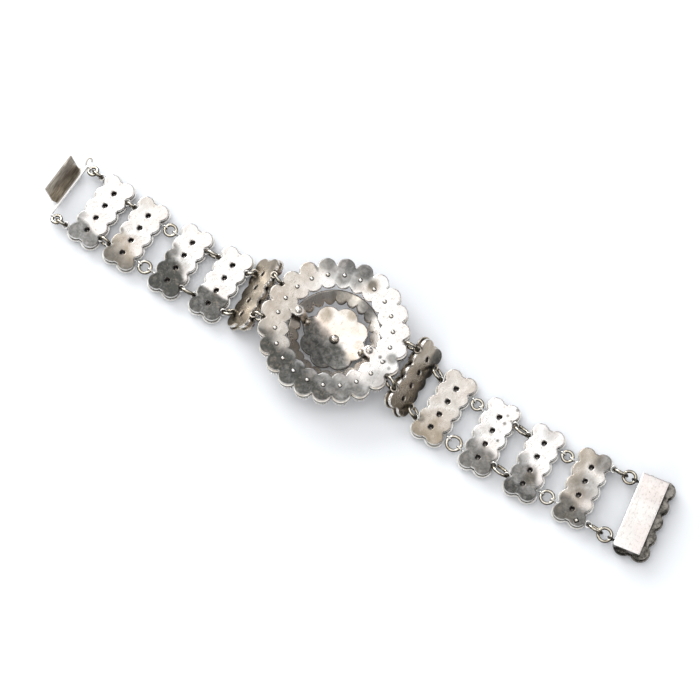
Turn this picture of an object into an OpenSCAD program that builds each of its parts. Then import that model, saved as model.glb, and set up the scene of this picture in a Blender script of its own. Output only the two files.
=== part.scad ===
// Garnet bracelet, lying open and face down: the silver backs are up and the stones face the floor.
// Millimetres. +X runs along the bracelet from the tongue to the box, +Z is up, the floor is z = 0.

/* [Links] */
// Spacing of the scallop lobes along a link
lobe_pitch = 4; // [3.95:0.05:4.1]
// Distance from the middle line of a link to the centres of its two rows of lobes
lobe_row = 2.15; // [2.1:0.05:2.25]
// Radius of one lobe of a link's back plate
lobe_r = 2.2; // [2.2:0.05:2.3]
// How far the lobes sit toward the +Y end from the middle settings
lobe_shift = 0.3; // [0.2:0.05:0.35]
// Thickness of the silver sheet of the back plates
sheet = 0.45; // [0.4:0.05:0.5]
// How far the front tray stands out past the back plate
tray_lip = 0.4; // [0.2:0.05:0.45]
// Height of a flat link's back above the floor, stones included
back_z = 2.9; // [2.85:0.05:3]
// Bore of the four small settings on a link's middle line
eyelet_bore = 0.72; // [0.65:0.01:0.75]

/* [Medallion] */
// Number of petals round the outer and the middle ring
petals = 22; // [22:2:24]
// Circle on which the outer lobes of the outer ring are centred
outer_lobe_at = 17; // [16.9:0.05:17.1]
// Radius of an outer lobe
outer_lobe_r = 2.5; // [2.45:0.05:2.6]
// Radius to which the sheet fills the notches between the outer lobes
outer_web_r = 17.7; // [17.6:0.05:17.8]
// Circle on which the inner lobes of the outer ring are centred
inner_lobe_at = 13.7; // [13.6:0.05:13.8]
// Radius of an inner lobe
inner_lobe_r = 2.2; // [2.1:0.05:2.25]
// Circle of the domed rivet heads
rivet_at = 15; // [14.9:0.05:15.2]
// Drop from the outer ring's back to the edge of the centre cup
cup_drop = 5.85; // [5.8:0.05:5.9]
// How much deeper the middle of the centre cup is than its edge
cup_dish = 1.2; // [1:0.1:1.3]

/* [Rings] */
// Radius of the wire of a jump ring
ring_wire = 0.34; // [0.3:0.01:0.36]
// Radius of the wire of a soldered eye
eye_wire = 0.22; // [0.2:0.01:0.24]
// Radius of a soldered eye, to the middle of its wire
eye_r = 0.76; // [0.74:0.01:0.8]

/* [Clasp] */
// Width of the box across the bracelet's length
box_w = 7.1; // [6.8:0.1:7.2]
// Length of the box across the bracelet
box_l = 20.4; // [20:0.1:20.6]
// Height of the box above its scalloped front
box_h = 2.2; // [2.1:0.1:2.4]
// Width of the slot and the sheet that goes into it
tongue_w = 11.3; // [11:0.1:11.4]

/* [Hidden] */
silver = [0.80, 0.79, 0.76];
warm_silver = [0.76, 0.71, 0.65];
gilt = [0.62, 0.55, 0.42];
tarnished = [0.45, 0.40, 0.34];
garnet = [0.30, 0.04, 0.06];

// Depth of the notches between lobes, along a link's sides and at its ends
side_notch = 0.85;
end_notch = 0.75;

// Settings of a link: sizes and depths below the back of its plate
collet_r = 1.95;
collet_bore = 1.6;
collet_depth = 2.15;
claw_gap = 1.1;
claw_h = 0.45;
tray_top = 0.95;
tray_t = 0.35;
tray_cut_x = 5.2;
tray_cut_r = 1.35;
collet_hole_r = 1.75;
eyelet_hole_r = 0.85;
eyelet_r = 0.98;
eyelet_depth = 1.9;

// Outer ring: its smaller settings, rivet heads, and the two tabs with a ball on each
inner_collet_r = 1.5;
inner_collet_bore = 1.18;
inner_collet_at = 13.62;
inner_collet_depth = 1.95;
outer_tray_in = 0.05;
inner_tray_in = 0.4;
rivet_r = 0.62;
tab_r = 1.5;
tab_in = 10.5;
tab_join = 2;
ball_r = 0.95;
ball_rise = 0.45;

// Middle ring: a sheet that slopes from its outer edge down to its inner one
mid_out = 12;
mid_out_z = -2.6;
mid_in = 7.9;
mid_in_z = -6.3;
mid_t = 0.63;
mid_stone_at = 10.75;
mid_hole = 10.4;
mid_lobe_at = 10.7;
mid_lobe_r = 1.62;
mid_collet_r = 1.38;
mid_collet_bore = 1.1;
mid_collet_z = -4.35;
mid_collet_depth = 1.5;
mid_collet_h = 4;

// Centre cup: a shallow dish with eight lobes, a setting under each and one in the middle
cup_lobes = 8;
cup_lobe_at = 5.6;
cup_lobe_r = 3.2;
cup_r = cup_lobe_at + cup_lobe_r;
dish_r = (cup_r * cup_r + cup_dish * cup_dish) / (2 * cup_dish);
cup_rim = 0.2;
petal_at = 5.75;
petal_collet_r = 2.1;
petal_bore = 1.85;
petal_bore_h = 0.9;
centre_collet_r = 2.35;
centre_bore = 2.0;
centre_bore_h = 0.4;
cup_front = -8.05;
cup_collet_h = 3;
knob_r = 1.15;
petal_stone_z = -cup_drop - 1.35;
centre_stone_z = -cup_drop - 2.1;
medal_deep = 9;

// Straps: where each bends, the heights of its two levels, and the rivet on its foot
strap_w = 2.2;
strap_t = 0.4;
strap_out = 11.2;
strap_bend = 9.3;
strap_knee = 8.45;
strap_z = -0.62;
foot_at = 8.0;
foot_z = -5.74;
foot_r = 0.92;
foot_ball_r = 0.85;
foot_ball_rise = 0.75;

// Clasp box: walls and slot, and its scalloped front
box_wall = 0.4;
box_floor = 0.2;
slot_h = 1.15;
tongue_play = 0.3;
front_shift = 1.1;
front_pitch = 4.35;

// Tongue: a folded spring sheet on a bar
leaf_t = 0.4;
fold = [-2.4, -1.15];
leaf_top = [-3.9, 4.5];
leaf_y = 1.35;
bar_r = 0.4;
bar_l = 16.5;

// Stones: girdle radius, table radius, and depths of culet, girdle and table
link_stone = [1.5, 0.9, 0.62, 2.05, 2.9];
ring_stone = [1.5, 0.9, 0.62, 2.05, 2.9];
inner_stone = [1.08, 0.64, 0.7, 1.85, 2.5];
middle_stone = [1.0, 0.6, 0.55, 1.35, 1.95];
petal_stone = [1.75, 1.05, 0.12, 0.95, 1.75];
centre_stone = [1.9, 1.2, 0.12, 0.5, 1.1];

// Where each piece lies: x, y, height of its back, turn from +Y, tilt about its long axis
shift_x = 0.08;
P_X = 0;
P_Y = 1;
P_Z = 2;
P_YAW = 3;
P_TILT = 4;
l1 = [-76.2, -1.7, back_z, -3.0, 0];
l2 = [-65.2, -2.25, back_z, -1.5, 0];
l3 = [-51.4, -2.65, back_z, -0.7, 0];
l4 = [-39.2, -2.55, back_z, 0.1, 0];
l5 = [-30.3, -1.05, 4.75, 5.3, -48];
medal = [-6.6, 0, 9.05, 0, 0];
r1 = [16.95, 0.7, 5.0, 0.9, 56];
r2 = [26.9, -1.55, back_z, -1.6, 0];
r3 = [40.7, -2.3, back_z, 3.4, 0];
r4 = [53.9, -2.4, back_z, 3.3, 0];
r5 = [67.6, -1.7, back_z, 6.1, 0];
box = [83.9, -0.35, back_z, 8.0, 0];
bar = [-86.7, -0.8, 1.9, -3.2, 0];

// Eyes: a notch eye takes an upright ring, a loop eye a flat one, a lobe eye sits at a link's end lobe
notch_x = 4.2;
near_x = 4.3;
mid_x = 4.45;
wide_x = 4.6;
loop_x = 5.35;
lobe_x = 5.35;
high_x = 3.3;
low_x = 3.6;
eye_y = 6;
end_y = 8;
eye_z = -0.12;
high_z = 0.62;
loop_z = -0.6;
tab_at = 18.2;
root_z = -0.12;
stem_r = 0.16;
end_stem_x = 4;
side_stem_x = 3;
tab_stem = 0.93;
ring_gap = 0.1;
step = 360 / petals;
first_petal = 12.63;
function notch(side, end) = [side * notch_x, end * eye_y, eye_z];
function spot(x, end) = [x, end * eye_y, eye_z];
function high(x, end) = [x, end * eye_y, high_z];
function loop(side, end) = [side * loop_x, end * eye_y, loop_z];
function lobe(side, end) = [side * lobe_x, end * end_y, eye_z];
function tab(a) = [tab_at * cos(a), tab_at * sin(a), root_z];
left_tabs = [first_petal + 9.5 * step, first_petal + 11.5 * step];
right_tabs = [first_petal + 0.5 * step, first_petal - 1.5 * step];
box_eye_x = 4.75;
box_eye_y = 8.3;
bar_eye_x = 0.95;
bar_eye_y = 8.1;

// Jump rings: name, piece and eye at each end, and roll from upright.
// A pair adds the second ring's roll and the first ring's share of the length
J_NAME = 0;
J_A = 1;
J_AT = 2;
J_B = 3;
J_BT = 4;
J_ROLL = 5;
J_ROLL2 = 6;
J_SHARE = 7;
RINGS = [
    ["ring_1a", bar, [bar_eye_x, bar_eye_y, 0], l1, lobe(-1, 1), 82, 12, 0.46],
    ["ring_1b", bar, [bar_eye_x, -bar_eye_y, 0], l1, lobe(-1, -1), 78, 20, 0.46],
    ["ring_2a", l1, notch(1, 1), l2, notch(-1, 1), 8],
    ["ring_2b", l1, notch(1, -1), l2, notch(-1, -1), -12],
    ["ring_3a", l2, loop(1, 1), l3, loop(-1, 1), 90],
    ["ring_3b", l2, loop(1, -1), l3, loop(-1, -1), 86],
    ["ring_4a", l3, notch(1, 1), l4, notch(-1, 1), 6],
    ["ring_4b", l3, notch(1, -1), l4, notch(-1, -1), 14],
    ["ring_5a", l4, spot(near_x, 1), l5, high(-2.95, 1), 20],
    ["ring_5b", l4, spot(wide_x, -1), l5, high(-high_x, -1), 40],
    ["ring_6a", l5, spot(wide_x, 1), medal, tab(left_tabs[0]), 10],
    ["ring_6b", l5, spot(wide_x, -1), medal, tab(left_tabs[1]), -14],
    ["ring_7a", medal, tab(right_tabs[0]), r1, spot(-wide_x, 1), 2],
    ["ring_7b", medal, tab(right_tabs[1]), r1, spot(-wide_x, -1), -16],
    ["ring_8a", r1, high(low_x, 1), r2, spot(-wide_x, 1), 30],
    ["ring_8b", r1, high(low_x, -1), r2, spot(-wide_x, -1), 34],
    ["ring_9a", r2, loop(1, 1), r3, loop(-1, 1), 88],
    ["ring_9b", r2, loop(1, -1), r3, loop(-1, -1), 90],
    ["ring_10a", r3, spot(mid_x, 1), r4, spot(-mid_x, 1), 30],
    ["ring_10b", r3, spot(mid_x, -1), r4, spot(-mid_x, -1), 34],
    ["ring_11a", r4, loop(1, 1), r5, loop(-1, 1), 90],
    ["ring_11b", r4, loop(1, -1), r5, loop(-1, -1), 87],
    ["ring_12a", r5, lobe(1, 1), box, [-box_eye_x, box_eye_y, loop_z], 14, 86, 0.53],
    ["ring_12b", r5, lobe(1, -1), box, [-box_eye_x, -box_eye_y, loop_z], 22, 88, 0.53],
];
overlap = 0.82;

function row_at(pitch) = lobe_row * (pitch + lobe_pitch) / (2 * lobe_pitch);
function unit(v) = v / norm(v);
function tilted(p, t) = [p.x * cos(t) + p.z * sin(t), p.y, p.z * cos(t) - p.x * sin(t)];
function turned(p, a) = [p.x * cos(a) - p.y * sin(a), p.x * sin(a) + p.y * cos(a), p.z];
function origin(piece) = [piece[P_X] + shift_x, piece[P_Y], piece[P_Z]];
function at(piece, p) = origin(piece) + turned(tilted(p, piece[P_TILT]), piece[P_YAW]);
function upright(u) = unit(cross([0, 0, 1], u));
function rolled(u, roll) = cos(roll) * upright(u) + sin(roll) * cross(u, upright(u));
function paired(row) = len(row) > J_ROLL2;
function start_of(row) = at(row[J_A], row[J_AT]);
function end_of(row) = at(row[J_B], row[J_BT]);
function along(row) = unit(end_of(row) - start_of(row));
function reach(row) = norm(end_of(row) - start_of(row));
function holds(row, piece) = row[J_A] == piece || row[J_B] == piece;
function slanted(row, piece) = piece[P_TILT] != 0 || (!paired(row) && abs(sin(2 * row[J_ROLL])) > 0.6);
function first_r(row) = paired(row) ? (reach(row) + overlap) / 2 * row[J_SHARE] : reach(row) / 2;
function last_r(row) = (reach(row) + overlap) / 2 - first_r(row);
function first_axis(row) = rolled(along(row), row[J_ROLL]);
function last_axis(row) = rolled(along(row), row[paired(row) ? J_ROLL2 : J_ROLL]);

// Puts a piece drawn in its own frame where it lies
module lay(piece) {
    translate(origin(piece))
        rotate([0, 0, piece[P_YAW]])
            rotate([0, piece[P_TILT], 0])
                children();
}

// Turns the z axis of its child to point along v
module aim(v) {
    rotate([0, acos(v.z / norm(v)), atan2(v.y, v.x)]) children();
}

module wire_ring(r, wire) {
    rotate_extrude($fn = 48) translate([r, 0]) circle(wire, $fn = 20);
}

module rod(p, q, r) {
    translate(p) aim(q - p) cylinder(h = norm(q - p), r = r, $fn = 20);
}

// The ten lobes of a link's outline, with the notches between them partly filled
module scallops(r, pitch) {
    row = row_at(pitch);
    at_stones(pitch) circle(r, $fn = 48);
    square([2 * (row + r - side_notch), 4 * pitch], center = true);
    square([2 * row, 4 * pitch + 2 * (r - end_notch)], center = true);
}

module at_stones(pitch) {
    for (side = [-1, 1], i = [-2:2])
        translate([side * row_at(pitch), i * pitch, 0]) children();
}

module at_eyelets() {
    for (y = [-1.5:1.5]) translate([0, y * lobe_pitch, 0]) children();
}

// A cup setting with four claws, drawn downward from the sheet that carries it
module collet(r, depth) {
    difference() {
        translate([0, 0, -depth]) cylinder(h = depth - sheet / 2, r = r, $fn = 48);
        for (a = [0, 90])
            rotate([0, 0, a])
                translate([-r - 1, -claw_gap / 2, -depth - 1]) cube([2 * r + 2, claw_gap, claw_h + 1]);
    }
}

module bore(r, depth, top) {
    translate([0, 0, -depth - 1]) cylinder(h = depth + 1 - top, r = r, $fn = 48);
}

// The tray at the front is pierced for the settings
module tray_outline(pitch) {
    difference() {
        scallops(lobe_r + tray_lip, pitch);
        at_stones(pitch) circle(collet_hole_r, $fn = 48);
    }
}

module in_tray() {
    translate([0, 0, -tray_top - tray_t]) linear_extrude(tray_t) children();
}

// A link's tray is also pierced for the middle settings and cut back beside the eyes
module link_tray() {
    in_tray() difference() {
        translate([0, lobe_shift]) tray_outline(lobe_pitch);
        at_eyelets() circle(eyelet_hole_r, $fn = 40);
        for (x = [-1, 1], y = [-1, 1])
            translate([x * tray_cut_x, y * eye_y]) circle(tray_cut_r, $fn = 40);
    }
}

// A scalloped back plate with its ten settings
module set_plate(pitch) {
    difference() {
        union() {
            translate([0, 0, -sheet]) linear_extrude(sheet) scallops(lobe_r, pitch);
            at_stones(pitch) collet(collet_r, collet_depth);
        }
        at_stones(pitch) bore(collet_bore, collet_depth, sheet);
    }
}

// Back plate and settings of one link
module link_body() {
    difference() {
        union() {
            translate([0, lobe_shift, 0]) set_plate(lobe_pitch);
            at_eyelets()
                translate([0, 0, -eyelet_depth])
                    cylinder(h = eyelet_depth - sheet / 2, r = eyelet_r, $fn = 40);
        }
        at_eyelets() bore(eyelet_bore, eyelet_depth, -1);
    }
}

// An eye stands square to the ring that it holds, and a short stem joins it to the plate
module eye(p, ring_axis, toward_ring, root) {
    translate(p) aim(cross(ring_axis, toward_ring)) wire_ring(eye_r, eye_wire);
    rod(p - eye_r * toward_ring, root, stem_r);
}

// Room for a ring where it passes a plate's edge
module ring_room(row) {
    rings_of(row, ring_wire + ring_gap);
}

module rings_of(row, wire) {
    ring_at(start_of(row) + first_r(row) * along(row), first_axis(row), first_r(row), wire);
    if (paired(row)) ring_at(end_of(row) - last_r(row) * along(row), last_axis(row), last_r(row), wire);
}

module ring_at(centre, axis, r, wire) {
    translate(centre) aim(axis) wire_ring(r, wire);
}

// The eyes of one piece, with their stems ending inside its sheet
module eyes_of(piece) {
    for (row = RINGS) {
        if (row[J_A] == piece)
            eye(start_of(row), first_axis(row), along(row), at(piece, root_of(row[J_AT])));
        if (row[J_B] == piece)
            eye(end_of(row), last_axis(row), -along(row), at(piece, root_of(row[J_BT])));
    }
}

function root_of(p) = [sign(p.x) * (abs(p.y) == end_y ? end_stem_x : side_stem_x), p.y, root_z];

module link(piece) {
    color(silver) {
        lay(piece) link_body();
        difference() {
            lay(piece) link_tray();
            for (row = RINGS) if (holds(row, piece) && slanted(row, piece)) ring_room(row);
        }
        eyes_of(piece);
    }
}

// A cut stone, table down: eight-sided table, sixteen crown facets and eight pavilion facets
module cut_stone(s) {
    sides = 8;
    girdle = [for (i = [0:sides - 1]) [s[0] * cos(i * 45), s[0] * sin(i * 45), -s[3]]];
    table = [for (i = [0:sides - 1]) [s[1] * cos(i * 45 + 22.5), s[1] * sin(i * 45 + 22.5), -s[4]]];
    culet = [[0, 0, -s[2]]];
    polyhedron(
        points = concat(girdle, table, culet),
        faces = concat(
            [for (i = [0:sides - 1]) [i, (i + 1) % sides, 2 * sides]],
            [for (i = [0:sides - 1]) [(i + 1) % sides, i, sides + i]],
            [for (i = [0:sides - 1]) [(i + 1) % sides, sides + i, sides + (i + 1) % sides]],
            [[for (i = [0:sides - 1]) 2 * sides - 1 - i]]
        ));
}

module link_stones(piece) {
    color(garnet) lay(piece) translate([0, lobe_shift, 0]) at_stones(lobe_pitch) cut_stone(link_stone);
}

module jump_ring(row) {
    color(gilt) rings_of(row, ring_wire);
}

// Outline of the outer ring: a band between two circles of lobes
module petal_band(outer_r, inner_r) {
    difference() {
        union() {
            circle(outer_web_r, $fn = 96);
            for (i = [0:petals - 1])
                rotate(first_petal + i * step) translate([outer_lobe_at, 0]) circle(outer_r, $fn = 48);
        }
        circle(inner_lobe_at, $fn = 96);
    }
    for (i = [0:petals - 1])
        rotate(first_petal + i * step) translate([inner_lobe_at, 0]) circle(inner_r, $fn = 48);
}

module round_petals(r) {
    for (i = [0:petals - 1])
        rotate([0, 0, first_petal + i * step]) translate([r, 0, 0]) children();
}

module outer_ring() {
    color(silver) {
        difference() {
            lay(medal) {
                difference() {
                    union() {
                        translate([0, 0, -sheet])
                            linear_extrude(sheet) petal_band(outer_lobe_r, inner_lobe_r);
                        translate([0, 0, -tray_top - tray_t])
                            linear_extrude(tray_t)
                                petal_band(outer_lobe_r - outer_tray_in, inner_lobe_r - inner_tray_in);
                        round_petals(outer_lobe_at) collet(collet_r, collet_depth);
                        round_petals(inner_collet_at) collet(inner_collet_r, inner_collet_depth);
                        round_petals(rivet_at) sphere(rivet_r, $fn = 24);
                        for (a = [0, 180])
                            rotate([0, 0, a])
                                translate([tab_in, 0, -sheet]) {
                                    cylinder(h = sheet, r = tab_r, $fn = 40);
                                    translate([0, -tab_r, 0]) cube([tab_join, 2 * tab_r, sheet]);
                                    translate([0, 0, sheet + ball_rise]) sphere(ball_r, $fn = 24);
                                }
                    }
                    round_petals(outer_lobe_at) bore(collet_bore, collet_depth, sheet);
                    round_petals(inner_collet_at) bore(inner_collet_bore, inner_collet_depth, sheet);
                }
            }
            for (row = RINGS) if (holds(row, medal)) ring_room(row);
        }
        for (row = RINGS) {
            if (row[J_A] == medal)
                eye(start_of(row), first_axis(row), along(row), tab_root(row[J_AT]));
            if (row[J_B] == medal)
                eye(end_of(row), last_axis(row), -along(row), tab_root(row[J_BT]));
        }
    }
}

function tab_root(p) = at(medal, [p.x * tab_stem, p.y * tab_stem, p.z]);

// The space under a cone that joins the middle ring's two edges
module funnel(top) {
    rotate_extrude($fn = 96)
        polygon([
            [mid_in, mid_in_z + top],
            [mid_out, mid_out_z + top],
            [mid_out, 1 - medal_deep],
            [mid_in, 1 - medal_deep]
        ]);
}

module middle_ring() {
    color(warm_silver) lay(medal) {
        difference() {
            union() {
                intersection() {
                    difference() {
                        funnel(0);
                        funnel(-mid_t);
                    }
                    translate([0, 0, -medal_deep]) linear_extrude(medal_deep) middle_outline();
                }
                intersection() {
                    round_petals(mid_stone_at)
                        translate([0, 0, mid_collet_z - mid_collet_depth])
                            cylinder(h = mid_collet_h, r = mid_collet_r, $fn = 40);
                    funnel(-sheet);
                }
            }
            round_petals(mid_stone_at)
                translate([0, 0, mid_collet_z - mid_collet_depth - 1])
                    cylinder(h = mid_collet_depth + 1 - sheet, r = mid_collet_bore, $fn = 40);
        }
    }
}

module middle_outline() {
    difference() {
        circle(mid_out, $fn = 96);
        circle(mid_hole, $fn = 96);
    }
    for (i = [0:petals - 1])
        rotate(first_petal + i * step) translate([mid_lobe_at, 0]) circle(mid_lobe_r, $fn = 40);
}

module cup_outline() {
    circle(cup_lobe_at, $fn = 48);
    for (i = [0:cup_lobes - 1])
        rotate(i * 360 / cup_lobes) translate([cup_lobe_at, 0]) circle(cup_lobe_r, $fn = 48);
}

module dish(drop) {
    translate([0, 0, -cup_drop - cup_dish + dish_r - drop]) sphere(dish_r, $fn = 96);
}

module round_cup() {
    for (i = [0:cup_lobes - 1])
        rotate([0, 0, i * 360 / cup_lobes]) translate([petal_at, 0, 0]) children();
}

module centre_cup() {
    color(warm_silver) lay(medal) {
        difference() {
            union() {
                intersection() {
                    difference() {
                        dish(sheet);
                        dish(0);
                    }
                    translate([0, 0, -medal_deep])
                        linear_extrude(medal_deep - cup_drop + cup_rim) cup_outline();
                }
                difference() {
                    union() {
                        round_cup()
                            translate([0, 0, cup_front])
                                cylinder(h = cup_collet_h, r = petal_collet_r, $fn = 48);
                        translate([0, 0, cup_front - 0.1])
                            cylinder(h = cup_collet_h, r = centre_collet_r, $fn = 48);
                    }
                    dish(sheet / 2);
                }
                translate([0, 0, -cup_drop - cup_dish + knob_r / 2]) sphere(knob_r, $fn = 32);
            }
            round_cup()
                translate([0, 0, cup_front - 1]) cylinder(h = 1 + petal_bore_h, r = petal_bore, $fn = 48);
            translate([0, 0, cup_front - 1]) cylinder(h = 1 + centre_bore_h, r = centre_bore, $fn = 48);
        }
    }
}

// A strap steps down from the outer ring's tab to the rim of the centre cup, with a round rivet on its foot
module bridges() {
    color(warm_silver) lay(medal)
        for (a = [0, 180])
            rotate([0, 0, a]) {
                rotate([90, 0, 0])
                    linear_extrude(strap_w, center = true)
                        polygon([
                            [strap_out, strap_z],
                            [strap_bend, strap_z],
                            [strap_knee, foot_z + strap_t],
                            [foot_at, foot_z + strap_t],
                            [foot_at, foot_z],
                            [strap_knee + strap_t, foot_z],
                            [strap_bend + strap_t, strap_z - strap_t],
                            [strap_out, strap_z - strap_t]
                        ]);
                translate([foot_at, 0, foot_z]) cylinder(h = strap_t, r = foot_r, $fn = 40);
                translate([foot_at, 0, foot_z + foot_ball_rise]) sphere(foot_ball_r, $fn = 24);
            }
}

// The clasp box: a hollow with a slot in its outer side, on a scalloped front with stones
module clasp_box() {
    color(warm_silver) {
        lay(box) {
            difference() {
                translate([-box_w / 2, -box_l / 2, -sheet / 2]) cube([box_w, box_l, box_h + sheet / 2]);
                translate([-box_w / 2 + box_wall, -box_l / 2 + box_wall, box_floor])
                    cube([box_w - 2 * box_wall, box_l - 2 * box_wall, box_h - box_floor - box_wall]);
                translate([0, -tongue_w / 2 - tongue_play, box_h - box_wall - slot_h])
                    cube([box_w, tongue_w + 2 * tongue_play, slot_h]);
            }
            translate([front_shift, 0, 0]) {
                set_plate(front_pitch);
                in_tray() tray_outline(front_pitch);
            }
        }
        eyes_of(box);
    }
}

module stones_box() {
    color(garnet) lay(box) translate([front_shift, 0, 0]) at_stones(front_pitch) cut_stone(link_stone);
}

// The tongue: a folded spring sheet on a bar with an eye at each end
module tongue() {
    color(tarnished) {
        lay(bar) {
            rotate([90, 0, 0]) cylinder(h = bar_l, r = bar_r, center = true, $fn = 24);
            translate([0, leaf_y, 0])
                rotate([90, 0, 0])
                    linear_extrude(tongue_w, center = true) leaf_profile();
        }
        for (row = RINGS)
            if (row[J_A] == bar)
                translate(start_of(row)) aim(cross(first_axis(row), along(row))) wire_ring(eye_r, eye_wire);
    }
}

module leaf_profile() {
    polygon([
        [0, leaf_t / 2], [0, -leaf_t / 2],
        [fold.x - 0.1, fold.y - leaf_t / 2], [fold.x - leaf_t / 2, fold.y],
        [leaf_top.x - leaf_t / 2, leaf_top.y], [leaf_top.x + leaf_t / 2, leaf_top.y],
        [fold.x + leaf_t / 2, fold.y + leaf_t / 2]
    ]);
}

module stones_outer_ring() {
    color(garnet) lay(medal) {
        round_petals(outer_lobe_at) cut_stone(ring_stone);
        round_petals(inner_collet_at) cut_stone(inner_stone);
    }
}

module stones_middle_ring() {
    color(garnet) lay(medal)
        round_petals(mid_stone_at) translate([0, 0, mid_collet_z]) cut_stone(middle_stone);
}

module stones_centre() {
    color(garnet) lay(medal) {
        round_cup() translate([0, 0, petal_stone_z]) cut_stone(petal_stone);
        translate([0, 0, centre_stone_z]) cut_stone(centre_stone);
    }
}

tongue();
link(l1);  // link_l1
link(l2);  // link_l2
link(l3);  // link_l3
link(l4);  // link_l4
link(l5);  // link_l5
link(r1);  // link_r1
link(r2);  // link_r2
link(r3);  // link_r3
link(r4);  // link_r4
link(r5);  // link_r5
clasp_box();
outer_ring();
middle_ring();
centre_cup();
bridges();
link_stones(l1);  // stones_l1
link_stones(l2);  // stones_l2
link_stones(l3);  // stones_l3
link_stones(l4);  // stones_l4
link_stones(l5);  // stones_l5
link_stones(r1);  // stones_r1
link_stones(r2);  // stones_r2
link_stones(r3);  // stones_r3
link_stones(r4);  // stones_r4
link_stones(r5);  // stones_r5
stones_box();
stones_outer_ring();
stones_middle_ring();
stones_centre();
for (row = RINGS) jump_ring(row);
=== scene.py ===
"""The looks of the garnet bracelet, which lies open and face down on a pale floor."""

import math
import random
from collections import namedtuple

import bpy
import numpy as np
from mathutils import Matrix, Vector
from mathutils.bvhtree import BVHTree


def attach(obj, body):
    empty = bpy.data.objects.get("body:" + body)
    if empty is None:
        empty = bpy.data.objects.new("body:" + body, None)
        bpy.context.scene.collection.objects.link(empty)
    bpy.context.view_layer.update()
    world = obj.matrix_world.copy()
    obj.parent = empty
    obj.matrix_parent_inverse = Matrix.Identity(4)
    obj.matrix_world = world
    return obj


MM = 0.001

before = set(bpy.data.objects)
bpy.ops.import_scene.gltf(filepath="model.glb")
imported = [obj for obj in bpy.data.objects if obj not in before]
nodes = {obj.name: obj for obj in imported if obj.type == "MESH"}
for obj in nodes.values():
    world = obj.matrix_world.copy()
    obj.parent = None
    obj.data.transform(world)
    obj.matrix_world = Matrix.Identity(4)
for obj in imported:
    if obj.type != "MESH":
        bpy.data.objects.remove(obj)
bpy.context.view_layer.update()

# Each flat piece's place in mm and degrees, as in the CAD part: x, y, back's height, turn, tilt
SHIFT_X = 0.08
PLACES = {
    "l1": (-76.2, -1.7, 2.9, -3.0, 0),
    "l2": (-65.2, -2.25, 2.9, -1.5, 0),
    "l3": (-51.4, -2.65, 2.9, -0.7, 0),
    "l4": (-39.2, -2.55, 2.9, 0.1, 0),
    "l5": (-30.3, -1.05, 4.75, 5.3, -48),
    "r1": (16.95, 0.7, 5.0, 0.9, 56),
    "r2": (26.9, -1.55, 2.9, -1.6, 0),
    "r3": (40.7, -2.3, 2.9, 3.4, 0),
    "r4": (53.9, -2.4, 2.9, 3.3, 0),
    "r5": (67.6, -1.7, 2.9, 6.1, 0),
    "medal": (-6.6, 0, 9.05, 0, 0),
    "box": (83.9, -0.35, 2.9, 8.0, 0),
    "bar": (-86.7, -0.8, 1.9, -3.2, 0),
}

# Link sizes as in the CAD part, in mm
LOBE_PITCH, LOBE_ROW, LOBE_R, LOBE_SHIFT = 4.0, 2.15, 2.2, 0.3
SIDE_NOTCH, END_NOTCH = 0.85, 0.75
TRAY_LIP, TRAY_BOTTOM = 0.4, -1.3
SHEET = 0.45

# Medallion sizes as in the CAD part, in mm and degrees
PETALS, FIRST_PETAL = 22, 12.63
PETAL_STEP = 360 / PETALS
OUTER_AT, OUTER_R, OUTER_WEB_R = 17.0, 2.5, 17.7
INNER_AT, INNER_R = 13.7, 2.2
TAB_AT, TAB_R = 10.5, 1.5
RIVET_AT, RIVET_R = 15.0, 0.62
MID_AT, MID_LOBE_R = 10.7, 1.62
CUP_LOBES, CUP_AT, CUP_R = 8, 5.6, 3.2
CUP_DROP, CUP_DISH = 5.85, 1.2

# Box sizes as in the CAD part, in mm
BOX_W, BOX_L, BOX_H = 7.1, 20.4, 2.2

# The covering sheets in mm: gap to the CAD surface, edge rounding, rows along edges, spacings
COVER_GAP = 0.02
ROUND_R = 0.28
EDGE_ROWS = (0, 0.04, 0.14, 0.28)
LINK_STEP, MEDAL_STEP, MID_STEP, CUP_STEP, BOX_STEP = 0.2, 0.27, 0.24, 0.25, 0.3

# How far the mesh reaches past the outlines of the round sheets, in mm
MEDAL_SPARE, CUP_SPARE = 0.1, 0.2

# How uneven a surface is: its height in mm, longest and shortest wave in mm, number of waves
Waves = namedtuple("Waves", "height longest shortest count")
LINK_WAVES = Waves(0.02, 14, 5, 14)
MEDAL_WAVES = Waves(0.02, 14, 4, 20)
MID_WAVES = Waves(0.02, 6, 2, 16)
CUP_WAVES = Waves(0.03, 9, 3, 16)
BOX_WAVES = Waves(0.03, 12, 4, 12)
MEDAL_SEED, MID_SEED, CUP_SEED, BOX_SEED = 71, 81, 91, 61


def placed(name):
    x, y, z, turn, tilt = PLACES[name]
    return (
        Matrix.Translation(Vector((x + SHIFT_X, y, z)) * MM)
        @ Matrix.Rotation(math.radians(turn), 4, "Z")
        @ Matrix.Rotation(math.radians(tilt), 4, "Y")
    )


# Shapes

# A point this close to a level, as a share of the mesh spacing, is moved onto it
SNAP = 0.22

# The shift in mm by which a slope is measured, and the least square of a slope
SLOPE_SHIFT, LEAST_STEEP = 1e-3, 0.25

# Brings a sum of waves to about -1 to 1
RIPPLE_GAIN = 1.4


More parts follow.
